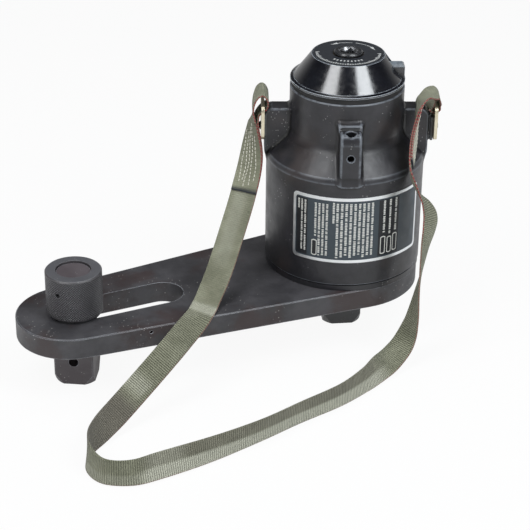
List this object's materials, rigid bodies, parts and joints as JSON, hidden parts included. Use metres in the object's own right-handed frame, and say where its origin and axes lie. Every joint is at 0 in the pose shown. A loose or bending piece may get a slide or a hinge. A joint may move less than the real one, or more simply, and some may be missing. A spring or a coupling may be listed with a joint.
{
  "type": "geared torque multiplier",
  "caption": "Hand-driven geared torque multiplier: small square input on a ratchet cover, planetary case, large square output and a slotted reaction bar with a clamped square post.",
  "frame": {"origin": "centre of the output square's end face, on the tool's axis, level with the reaction post's foot", "axes": "+Z along the tool's axis up to the input square, reaction bar along -X, +Y makes it right-handed"},
  "size_m": [0.4351, 0.2786, 0.2926],
  "materials": {
    "case_black": "matt charcoal paint on a casting",
    "bar_phosphate": "dark phosphate on flame cut and milled steel",
    "post_phosphate": "dark phosphate",
    "nut_oxide": "blue grey black oxide, knurled",
    "black_oxide": "black oxide",
    "gear_steel": "ground steel, oiled",
    "machined_steel": "machined, worn bright at the square",
    "bronze": "bearing bronze",
    "seal_rubber": "black rubber",
    "cover_gloss": "gloss black",
    "label_metal": "anodised plate with light marks",
    "zinc_plate": "yellowish zinc",
    "webbing": "olive grey cotton webbing"
  },
  "bodies": {
    "housing": {"gear_case": "case_black", "base_ring": "case_black", "reaction_bar": "bar_phosphate", "bar_screws": "black_oxide", "output_bush": "bronze", "output_seal": "seal_rubber", "second_ring_gear": "gear_steel", "stage_plate": "gear_steel", "carrier_bush": "bronze", "first_ring_gear": "gear_steel", "input_plate": "gear_steel", "input_bush": "bronze", "ratchet_cover": "cover_gloss", "cover_seal": "seal_rubber", "cover_bush": "bronze", "direction_plate": "label_metal", "label_plate": "label_metal", "left_strap_plate": "zinc_plate", "right_strap_plate": "zinc_plate", "right_plate_spacer": "black_oxide", "strap_screws": "black_oxide", "carry_strap": "webbing"},
    "output": {"output_carrier": "gear_steel", "second_planet_pins": "gear_steel", "output_square_drive": "black_oxide", "drive_screw": "black_oxide"},
    "second_planet_a": {"second_planet_1": "gear_steel"},
    "second_planet_b": {"second_planet_2": "gear_steel"},
    "second_planet_c": {"second_planet_3": "gear_steel"},
    "first_stage": {"first_carrier": "gear_steel", "first_planet_pins": "gear_steel", "second_sun": "gear_steel", "carrier_thrust_washer": "bronze"},
    "first_planet_a": {"first_planet_1": "gear_steel"},
    "first_planet_b": {"first_planet_2": "gear_steel"},
    "first_planet_c": {"first_planet_3": "gear_steel"},
    "input": {"input_shaft": "machined_steel", "ratchet_wheel": "gear_steel", "shaft_snap_ring": "black_oxide"},
    "selector": {"selector_spindle": "gear_steel", "selector_lever": "black_oxide", "ratchet_pawl": "gear_steel"},
    "post_slide": {"post_washer": "black_oxide"},
    "post": {"reaction_post": "post_phosphate"},
    "clamp_nut": {"knurled_nut": "nut_oxide", "nut_set_screw": "black_oxide"}
  },
  "joints": [
    {"name": "output_turn", "type": "hinge", "parent": "housing", "child": "output", "pos_m": [0, 0, 0.06], "axis": [0, 0, 1], "continuous": true},
    {"name": "second_planet_a_spin", "type": "hinge", "parent": "output", "child": "second_planet_a", "pos_m": [0.03413, 0, 0.12], "axis": [0, 0, 1], "continuous": true},
    {"name": "second_planet_b_spin", "type": "hinge", "parent": "output", "child": "second_planet_b", "pos_m": [-0.01706, 0.02955, 0.12], "axis": [0, 0, 1], "continuous": true},
    {"name": "second_planet_c_spin", "type": "hinge", "parent": "output", "child": "second_planet_c", "pos_m": [-0.01706, -0.02955, 0.12], "axis": [0, 0, 1], "continuous": true},
    {"name": "first_stage_turn", "type": "hinge", "parent": "housing", "child": "first_stage", "pos_m": [0, 0, 0.19], "axis": [0, 0, 1], "continuous": true},
    {"name": "first_planet_a_spin", "type": "hinge", "parent": "first_stage", "child": "first_planet_a", "pos_m": [0.02438, 0, 0.207], "axis": [0, 0, 1], "continuous": true},
    {"name": "first_planet_b_spin", "type": "hinge", "parent": "first_stage", "child": "first_planet_b", "pos_m": [-0.01219, 0.02111, 0.207], "axis": [0, 0, 1], "continuous": true},
    {"name": "first_planet_c_spin", "type": "hinge", "parent": "first_stage", "child": "first_planet_c", "pos_m": [-0.01219, -0.02111, 0.207], "axis": [0, 0, 1], "continuous": true},
    {"name": "input_turn", "type": "hinge", "parent": "housing", "child": "input", "pos_m": [0, 0, 0.28], "axis": [0, 0, 1], "continuous": true},
    {"name": "selector_swing", "type": "hinge", "parent": "housing", "child": "selector", "pos_m": [0.03837, -0.01708, 0.25], "axis": [0, 0, 1], "range_deg": [-8, 8]},
    {"name": "post_slide_travel", "type": "slide", "parent": "housing", "child": "post_slide", "axis": [1, 0, 0], "range_m": [-0.0042, 0.0901]},
    {"name": "post_swivel", "type": "hinge", "parent": "post_slide", "child": "post", "pos_m": [-0.2873, 0, 0.05], "axis": [0, 0, 1], "continuous": true},
    {"name": "clamp_nut_turn", "type": "hinge", "parent": "post", "child": "clamp_nut", "pos_m": [-0.2873, 0, 0.09], "axis": [0, 0, 1], "continuous": true}
  ],
  "couplings": [
    {"joint": "second_planet_a_spin", "follows": "output_turn", "ratio": -2.625},
    {"joint": "second_planet_b_spin", "follows": "output_turn", "ratio": -2.625},
    {"joint": "second_planet_c_spin", "follows": "output_turn", "ratio": -2.625},
    {"joint": "first_stage_turn", "follows": "output_turn", "ratio": 5.2},
    {"joint": "first_planet_a_spin", "follows": "output_turn", "ratio": -13.65},
    {"joint": "first_planet_b_spin", "follows": "output_turn", "ratio": -13.65},
    {"joint": "first_planet_c_spin", "follows": "output_turn", "ratio": -13.65},
    {"joint": "input_turn", "follows": "output_turn", "ratio": 27.04}
  ]
}
